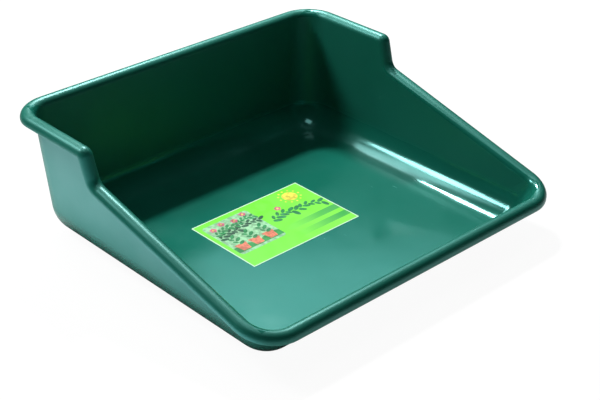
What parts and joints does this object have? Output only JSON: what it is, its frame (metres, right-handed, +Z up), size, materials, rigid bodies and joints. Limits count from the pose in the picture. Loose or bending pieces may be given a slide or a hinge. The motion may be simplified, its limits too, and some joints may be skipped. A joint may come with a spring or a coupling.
{
  "type": "potting soil tray",
  "caption": "Open potting soil tray with a high back, stepped sides sloping to a low front, a rolled rim all round and a label on its floor.",
  "frame": {"origin": "centre of the bounding box, on the plane the base stands on", "axes": "+X across the tray along the back wall, +Y from the low front to the high back, +Z up"},
  "size_m": [0.61, 0.563, 0.203],
  "materials": {
    "tray_green": "smooth glossy moulded plastic, dark green",
    "label_glue": "clear pressure-sensitive adhesive",
    "label_print": "printed and varnished paper"
  },
  "bodies": {
    "root": {"tray_shell": "tray_green", "label_adhesive": "label_glue", "label_face": "label_print"}
  },
  "joints": []
}
